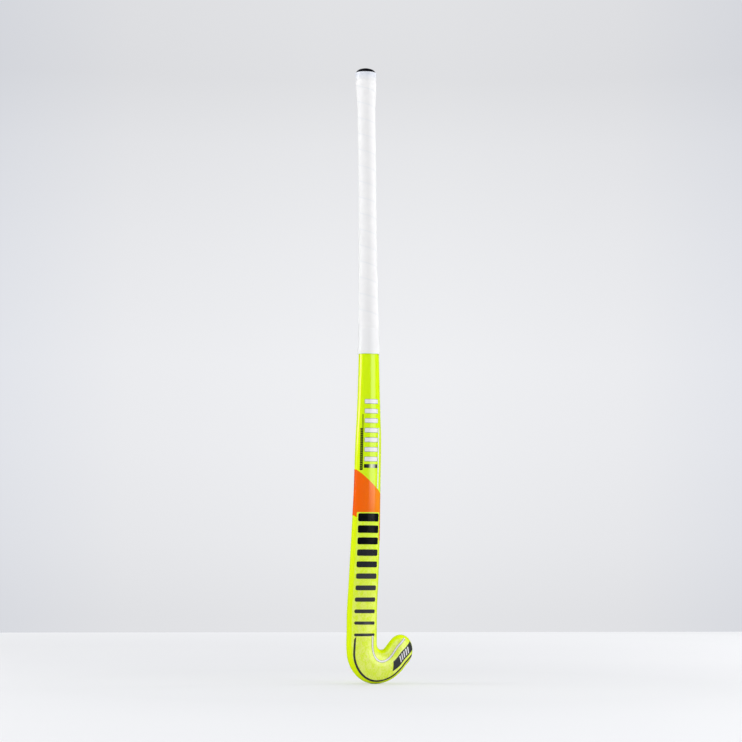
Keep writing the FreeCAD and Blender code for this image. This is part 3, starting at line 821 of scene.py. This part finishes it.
def grip(material):
    """One long cushioned tape wound up the handle. Each turn tucks under the next at the seam."""
    weave = Weave()
    outer, inner, marks = [], [], []
    for s in places(GRIP_FROM, GRIP_TO, 0.62):
        section = Section(s)
        outline = section.around(grip_growth(s), GRIP_COUNTS)
        walked = [0.0]
        for p, q in zip(outline, outline[1:] + outline[:1]):
            walked.append(walked[-1] + hypot(q[0] - p[0], q[1] - p[1]))
        ends = min(s - GRIP_FROM, GRIP_TO - s)
        rounding = GRIP_END_DROP * (1 - sqrt(1 - (1 - min(1.0, ends / GRIP_END)) ** 2))
        row, mark = [], []
        middle = Vector((0, -section.thick / 2))
        for (x, y), w in zip(outline, walked):
            lift, deep = winding(s, w / walked[-1])
            away = Vector((x, y)) - middle
            away.normalize()
            row.append(section.at(x + away.x * (lift - rounding), y + away.y * (lift - rounding)))
            # How deep in a seam each point lies, which greys it later as painted shade
            mark.append(deep)
        outer.append(row)
        marks.append(mark)
    for s in places(GRIP_FROM, GRIP_TO, 12):
        section = Section(s)
        inner.append([section.at(x, y) for x, y in section.around(under_grip(s), GRIP_COUNTS)])
    add_tube(weave, outer, inner, marks)
    return weave.piece("cushion_grip", [material], ["grip_wrap"])


def wrapped_tape(name, start, end, thick, node, material):
    """A thin tape round the grip, with soft edges and the end of its wrap showing on one side."""
    lap_high, lap_at, lap_out = 0.10, 0.30, 0.62    # the last two are shares of the way round
    weave = Weave()
    outer, inner = [], []
    soft = [0.0, 0.12, 0.3, 0.6, 1.0]
    levels = [start + d for d in soft] + places(start + 1.0, end - 1.0, 1.0)[1:-1]
    levels += [end - d for d in soft[::-1]]
    for s in levels:
        section = Section(s)
        d = 1 - min(1.0, s - start, end - s)
        base = grip_growth(s) + GAP
        h = base + thick * (0.45 + 0.55 * sqrt(1 - d * d))
        row = []
        outline = section.around(h, GRIP_COUNTS)
        for k, (x, y) in enumerate(outline):
            share = k / len(outline)
            lap = lap_high * smooth((share - lap_at) / 0.012) * smooth((lap_out - share) / 0.3)
            away = Vector((x, y + section.thick / 2)).normalized() * lap
            row.append(section.at(x + away.x, y + away.y))
        outer.append(row)
        inner.append([section.at(x, y) for x, y in section.around(base, GRIP_COUNTS)])
    add_tube(weave, outer, inner)
    return weave.piece(name, [material], [node])


def end_cap(material):
    """Rubber cap: a skirt under the grip, and a dome over the end with a shallow ring in it."""
    ring_deep, ring_at, ring_half = 0.25, 0.45, 0.05    # the last two are shares of the radius
    weave = Weave()
    rings = []
    for s in places(SKIRT_FROM, GRIP_TO, 4):
        section = Section(s)
        rings.append([section.at(x, y) for x, y in section.around(curve(SKIRT, s), GRIP_COUNTS)])
    rim = Section(GRIP_TO)
    edge = rim.around(curve(SKIRT, GRIP_TO), GRIP_COUNTS)
    middle = -rim.thick / 2
    for q in even(30)[1:]:
        t = q * pi / 2
        k = cos(t)
        up = (LENGTH - GRIP_TO) * sin(t) - ring_deep * exp(-((k - ring_at) / ring_half) ** 2)
        rings.append([rim.at(x * k, middle + (y - middle) * k) + Vector((0, 0, up)) for x, y in edge])
    weave.patch(rings, loop=True)
    inside = []
    for s in places(SKIRT_FROM, TUBE_TOP + GAP, 8):
        section = Section(s)
        inside.append([section.at(x, y) for x, y in section.around(GAP, GRIP_COUNTS)])
    roof = inside[-1]
    centre = sum(roof, Vector()) / len(roof)
    inside.append([centre] * len(roof))
    weave.patch(inside, loop=True)
    weave.patch([rings[0], inside[0]], loop=True)
    return weave.piece("rubber_end_cap", [material], ["butt_cap"])


laminate(lacquer)
motif()
mark_bars()
details()
side_line()
band()
outline()
crook_line()
toe_panel()
toe_marks()
grip(grip_white)
wrapped_tape("grip_collar_tape", COLLAR_FROM, GRIP_TO, 0.4, "grip_collar", collar_tape)
wrapped_tape("lower_finishing_tape", GRIP_FROM, TAPE_TO, 0.25, "finishing_tape", lower_tape)
end_cap(rubber)

# ---- CAD pieces that stay as they are, inside the stick
HIDDEN = {
    "head_core": speckled("core_foam", (0.62, 0.55, 0.36), (0.78, 0.72, 0.52), 900, 0.75, 0.95, 0.0002),
    "inner_tube_heel": speckled("tube_laminate", (0.020, 0.020, 0.022), (0.05, 0.05, 0.055), 500, 0.35,
                                0.55, 0.0001),
    "handle_plug": speckled("plug_plastic", (0.030, 0.030, 0.034), (0.050, 0.050, 0.055), 800, 0.5, 0.7,
                            0.0001),
    "grip_underlay": speckled("underlay_tape", (0.55, 0.52, 0.46), (0.70, 0.67, 0.60), 700, 0.6, 0.8,
                              0.0001),
}
HIDDEN["inner_tube_toe"] = HIDDEN["inner_tube_heel"]
for node, material in HIDDEN.items():
    for material_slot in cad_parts[node].material_slots:
        material_slot.material = material


# ---------------------------------------------------------------- studio

# The camera looks along +Y, turned towards +X, tilted up and rolled
VIEW_FROM = (-1390.6, -3389.1, 178.0)
VIEW_TURN, VIEW_TILT, VIEW_ROLL = radians(22), radians(4.508), radians(0.274)
LENS, SENSOR = 118.75, 36.0
FLOOR_HALF = 9000.0
FLOOR_BEHIND = 2787.0       # from the stick to the far edge of the floor, along the view
FLOOR_SKEW = radians(12)    # turn of that edge
FLOOR_GLOW = (0.5, 2.7, 0.24, 0.66)    # two distances in metres, and the glow at each
WALL_AWAY, WALL_LOW, WALL_HIGH, WALL_SIDES = 4500.0, -1500.0, 6000.0, 96
WALL_SHADED = 2.1           # height in metres over which its tone changes
# share of that height, grey level on the display
WALL_TONES = [(0.0, 228), (0.03, 229.5), (0.12, 234), (0.27, 238), (0.40, 239.3), (0.59, 235.5),
              (0.75, 230.5), (0.86, 224), (1.0, 226)]
WALL_TINT = (-0.5, 0.3, 3.0)
SUN_AWAY = 5000.0


def camera():
    """A long lens, low down in front of the back of the stick."""
    right = Vector((cos(VIEW_TURN), -sin(VIEW_TURN), 0))
    ahead = Vector((sin(VIEW_TURN) * cos(VIEW_TILT), cos(VIEW_TURN) * cos(VIEW_TILT), sin(VIEW_TILT)))
    up = right.cross(ahead)
    rolled = right * cos(VIEW_ROLL) + up * sin(VIEW_ROLL)
    data = bpy.data.cameras.new("camera")
    data.lens, data.sensor_width = LENS, SENSOR
    data.clip_end = 50
    made = bpy.data.objects.new("camera", data)
    turn = Matrix((rolled, rolled.cross(ahead), -ahead)).transposed()
    made.matrix_world = Matrix.Translation(Vector(VIEW_FROM) * MM) @ turn.to_4x4()
    bpy.context.scene.collection.objects.link(made)
    bpy.context.scene.camera = made


def stage_mesh(name, points, faces, material):
    """A mesh of the studio, which is no part of the stick."""
    mesh = bpy.data.meshes.new(name)
    mesh.from_pydata([Vector(p) * MM for p in points], [], faces)
    mesh.materials.append(material)
    made = bpy.data.objects.new(name, mesh)
    bpy.context.scene.collection.objects.link(made)
    return made


def floor_table():
    """A pale floor, glowing a little more far away, with a straight edge in front of the backdrop."""
    material, tree, shader = finish("pale_floor", Roughness=0.8, IOR=1.2, Specular_IOR_Level=0.0)
    tone = ramp(tree, grain(tree, place_of(tree), 1.2, 2, 0.5),
                [(0.2, (0.59, 0.594, 0.607)), (0.8, (0.60, 0.604, 0.615))])
    tree.links.new(tone, shader.inputs["Base Color"])
    tree.links.new(tone, shader.inputs["Emission Color"])
    away = tree.nodes.new("ShaderNodeVectorMath")
    away.operation = "LENGTH"
    tree.links.new(place_of(tree), away.inputs[0])
    glow = span(tree, away.outputs["Value"], *FLOOR_GLOW)
    tree.links.new(glow, shader.inputs["Emission Strength"])
    right = Vector((cos(VIEW_TURN), -sin(VIEW_TURN), 0))
    ahead = Vector((sin(VIEW_TURN), cos(VIEW_TURN), 0))
    far, skew = FLOOR_HALF, FLOOR_HALF * tan(FLOOR_SKEW)
    corners = [right * x + ahead * y for x, y in
               ((-far, -far), (far, -far), (far, FLOOR_BEHIND + skew), (-far, FLOOR_BEHIND - skew))]
    stage_mesh("floor", corners, [(0, 1, 2, 3)], material).visible_glossy = False


def linear(value):
    """Linear light of a display value from 0 to 255."""
    v = value / 255
    return v / 12.92 if v <= 0.04045 else ((v + 0.055) / 1.055) ** 2.4


def backdrop():
    """A round wall that the camera sees and that lights nothing. Its glow is painted light: brighter low
    behind the stick and darker towards the sides.
    """
    material = bpy.data.materials.new("backdrop")
    material.use_nodes = True
    tree = material.node_tree
    tree.nodes.clear()
    out = tree.nodes.new("ShaderNodeOutputMaterial")
    glow = tree.nodes.new("ShaderNodeEmission")
    tree.links.new(glow.outputs[0], out.inputs["Surface"])
    stops = [(at, tuple(linear(tone + d) for d in WALL_TINT)) for at, tone in WALL_TONES]
    upright = ramp(tree, span(tree, height_of(tree), 0.0, WALL_SHADED), stops)
    sideways = tree.nodes.new("ShaderNodeVectorMath")
    sideways.operation = "DOT_PRODUCT"
    sideways.inputs[1].default_value = (cos(VIEW_TURN), -sin(VIEW_TURN), 0)
    tree.links.new(place_of(tree), sideways.inputs[0])
    off = calculate(tree, "ABSOLUTE", sideways.outputs["Value"], 0.0)
    falls = span(tree, off, 0.2, 1.35, 0.0, 1.0)
    shade = ramp(tree, falls, [(0.0, (1.0, 1.0, 1.0)), (0.55, (0.965, 0.965, 0.97)),
                               (1.0, (0.87, 0.885, 0.92))])
    product = tree.nodes.new("ShaderNodeVectorMath")
    product.operation = "MULTIPLY"
    tree.links.new(upright, product.inputs[0])
    tree.links.new(shade, product.inputs[1])
    tree.links.new(product.outputs[0], glow.inputs["Color"])
    points, faces = [], []
    for k in range(WALL_SIDES):
        t = 2 * pi * k / WALL_SIDES
        points += [(WALL_AWAY * cos(t), WALL_AWAY * sin(t), z) for z in (WALL_LOW, WALL_HIGH)]
        beside = (k + 1) % WALL_SIDES
        faces.append((2 * k, 2 * beside, 2 * beside + 1, 2 * k + 1))
    wall = stage_mesh("backdrop", points, faces, material)
    wall.visible_diffuse = False
    wall.visible_glossy = False
    wall.visible_shadow = False


def light(data, spot, target):
    """Hang a light at spot, looking at target."""
    made = bpy.data.objects.new(data.name, data)
    made.location = spot * MM
    made.rotation_mode = "QUATERNION"
    made.rotation_quaternion = (target - spot).to_track_quat("-Z", "Y")
    made.visible_camera = False
    bpy.context.scene.collection.objects.link(made)
    return made


def soft_light(name, azimuth, away, height, wide, tall, power, aim=450.0, glossy=True):
    """A large soft light. azimuth 0 is in front of the back of the stick, positive towards the toe.
    It looks at the height aim, and shows in reflections where glossy is true."""
    data = bpy.data.lights.new(name, "AREA")
    data.shape = "RECTANGLE"
    data.size, data.size_y = wide * MM, tall * MM
    data.energy = power
    t = radians(azimuth)
    made = light(data, Vector((away * sin(t), -away * cos(t), height)), Vector((0, 0, aim)))
    made.visible_glossy = glossy


def soft_sun(name, azimuth, elevation, strength, angle):
    """A wide even light from far away, on the flat face and the floor."""
    data = bpy.data.lights.new(name, "SUN")
    data.energy, data.angle = strength, radians(angle)
    t, up = radians(azimuth), radians(elevation)
    spot = Vector((sin(t) * cos(up), -cos(t) * cos(up), sin(up))) * SUN_AWAY
    light(data, spot, Vector()).visible_glossy = False


def studio_world():
    """Even light from everywhere, which shows in no reflection."""
    world = bpy.data.worlds.new("studio")
    world.use_nodes = True
    sky = world.node_tree.nodes["Background"]
    sky.inputs["Color"].default_value = (0.97, 0.98, 1.0, 1.0)
    sky.inputs["Strength"].default_value = 0.51
    bpy.context.scene.world = world
    world.cycles_visibility.glossy = False


camera()
floor_table()
backdrop()
studio_world()
soft_light("right_softbox", 32, 1900, 900, 1400, 1700, 12)
soft_light("left_softbox", -105, 2200, 1250, 900, 1700, 24)
soft_light("top_softbox", -50, 1500, 2600, 1800, 1800, 12)
soft_light("side_lamp", 86, 2900, 1900, 700, 300, 46, aim=0.0, glossy=False)
soft_sun("face_fill", 150, 30, 0.75, 60)
bpy.context.scene.view_settings.view_transform = "Standard"
bpy.context.scene.view_settings.look = "None"
